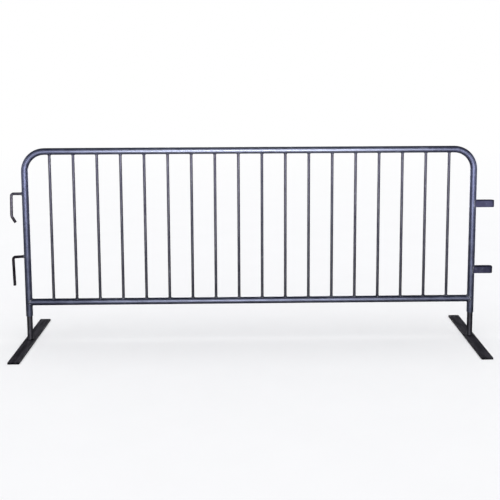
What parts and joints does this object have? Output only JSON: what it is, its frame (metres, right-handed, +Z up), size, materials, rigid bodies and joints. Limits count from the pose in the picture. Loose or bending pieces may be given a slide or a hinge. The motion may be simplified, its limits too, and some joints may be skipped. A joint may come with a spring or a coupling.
{
  "type": "crowd control barrier",
  "caption": "Free-standing steel barrier: a bent tube frame filled with upright pickets, hooks at one end and loops at the other, on flat feet that turn and plug out.",
  "frame": {"origin": "on the ground, midway between the outermost points of the hooks and the loops, in the plane of the uprights", "axes": "+X along the barrier from the hooks to the loops, +Y along the feet, +Z up"},
  "size_m": [2.7644, 0.66, 1.1241],
  "materials": {
    "frame_zinc": "galvanised, satin",
    "picket_zinc": "galvanised, satin",
    "hook_zinc": "galvanised, satin",
    "loop_zinc": "galvanised, dull",
    "stop_steel": "galvanised, dull",
    "post_zinc": "galvanised, dull",
    "foot_paint": "black, satin, scuffed"
  },
  "bodies": {
    "left_foot_post": {"left_foot_post": "post_zinc"},
    "left_foot_bar": {"left_foot_bar": "foot_paint"},
    "frame": {"frame_tube": "frame_zinc", "bottom_rail": "frame_zinc", "picket_01": "picket_zinc", "picket_02": "picket_zinc", "picket_03": "picket_zinc", "picket_04": "picket_zinc", "picket_05": "picket_zinc", "picket_06": "picket_zinc", "picket_07": "picket_zinc", "picket_08": "picket_zinc", "picket_09": "picket_zinc", "picket_10": "picket_zinc", "picket_11": "picket_zinc", "picket_12": "picket_zinc", "picket_13": "picket_zinc", "picket_14": "picket_zinc", "picket_15": "picket_zinc", "picket_16": "picket_zinc", "picket_17": "picket_zinc", "picket_18": "picket_zinc", "upper_hook": "hook_zinc", "lower_hook": "hook_zinc", "upper_loop": "loop_zinc", "lower_loop": "loop_zinc", "left_post_stop": "stop_steel", "right_post_stop": "stop_steel"},
    "right_foot_post": {"right_foot_post": "post_zinc"},
    "right_foot_bar": {"right_foot_bar": "foot_paint"}
  },
  "joints": [
    {"name": "frame_lift", "type": "slide", "parent": "left_foot_post", "child": "frame", "axis": [0, 0, 1], "range_m": [0, 0.13]},
    {"name": "right_post_pull", "type": "slide", "parent": "frame", "child": "right_foot_post", "axis": [0, 0, -1], "range_m": [0, 0.13]},
    {"name": "left_foot_swivel", "type": "hinge", "parent": "left_foot_post", "child": "left_foot_bar", "pos_m": [-1.2928, 0, 0], "axis": [0, 0, 1], "continuous": true},
    {"name": "right_foot_swivel", "type": "hinge", "parent": "right_foot_post", "child": "right_foot_bar", "pos_m": [1.2602, 0, 0], "axis": [0, 0, 1], "continuous": true}
  ],
  "couplings": [
    {"joint": "right_post_pull", "follows": "frame_lift", "ratio": 1}
  ]
}
